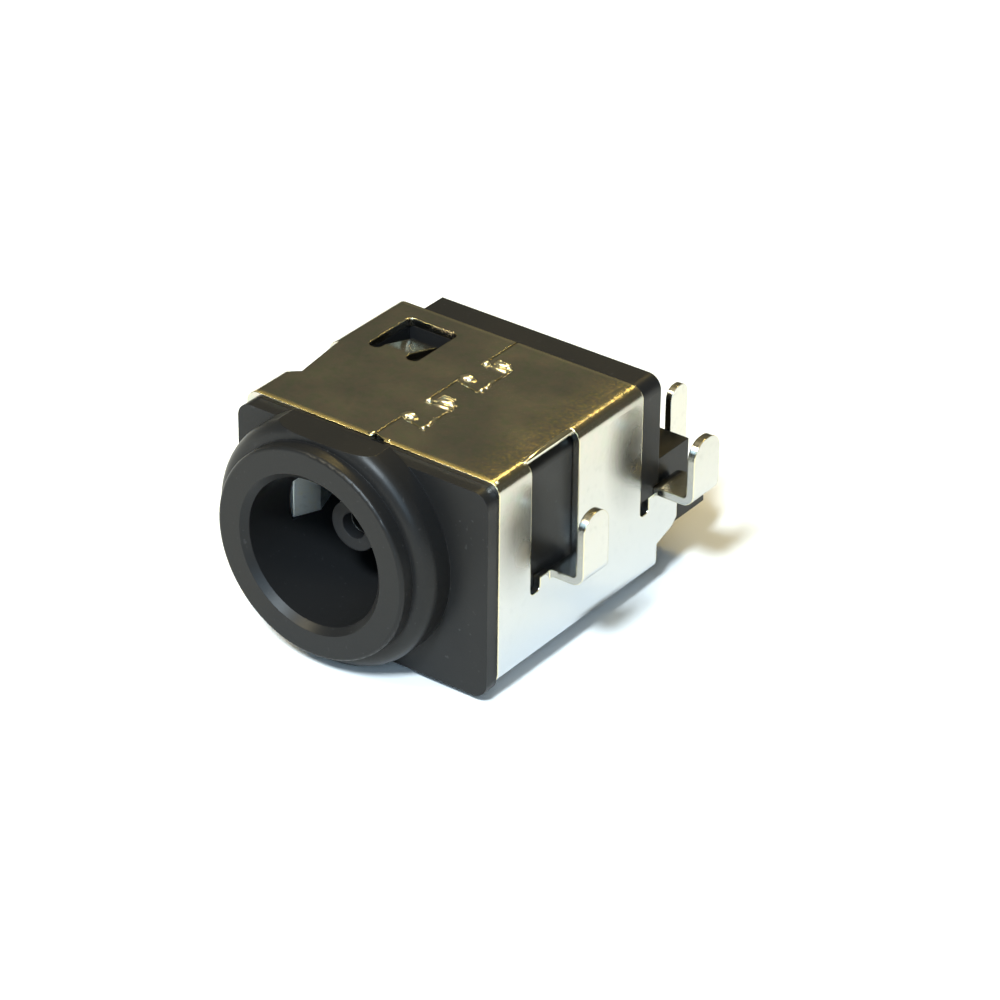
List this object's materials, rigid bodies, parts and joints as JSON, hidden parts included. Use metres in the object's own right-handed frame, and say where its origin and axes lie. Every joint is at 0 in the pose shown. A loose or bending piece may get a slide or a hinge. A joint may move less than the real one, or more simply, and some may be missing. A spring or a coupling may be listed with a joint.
{
  "type": "dc barrel jack",
  "caption": "Shielded through-hole power jack with a round plastic nose, a sleeved centre post in the bore and solder tabs along both sides.",
  "frame": {"origin": "on the plug axis, where the round nose leaves the collar", "axes": "+Y into the jack along the plug axis, +X to the right seen from the plug, +Z towards the free ends of the solder tabs"},
  "size_m": [0.0147, 0.0158, 0.0091],
  "materials": {
    "black_plastic": "fine moulded, slightly glossy",
    "plated_shell": "bright tin plating",
    "plated_contact": "bright plating",
    "core_plastic": "matt"
  },
  "bodies": {
    "root": {"housing": "black_plastic", "shell": "plated_shell", "rear_cap": "black_plastic", "centre_contact": "plated_contact", "post_core": "core_plastic", "signal_socket": "plated_contact", "power_terminal": "plated_contact", "ground_spring": "plated_contact"}
  },
  "joints": []
}
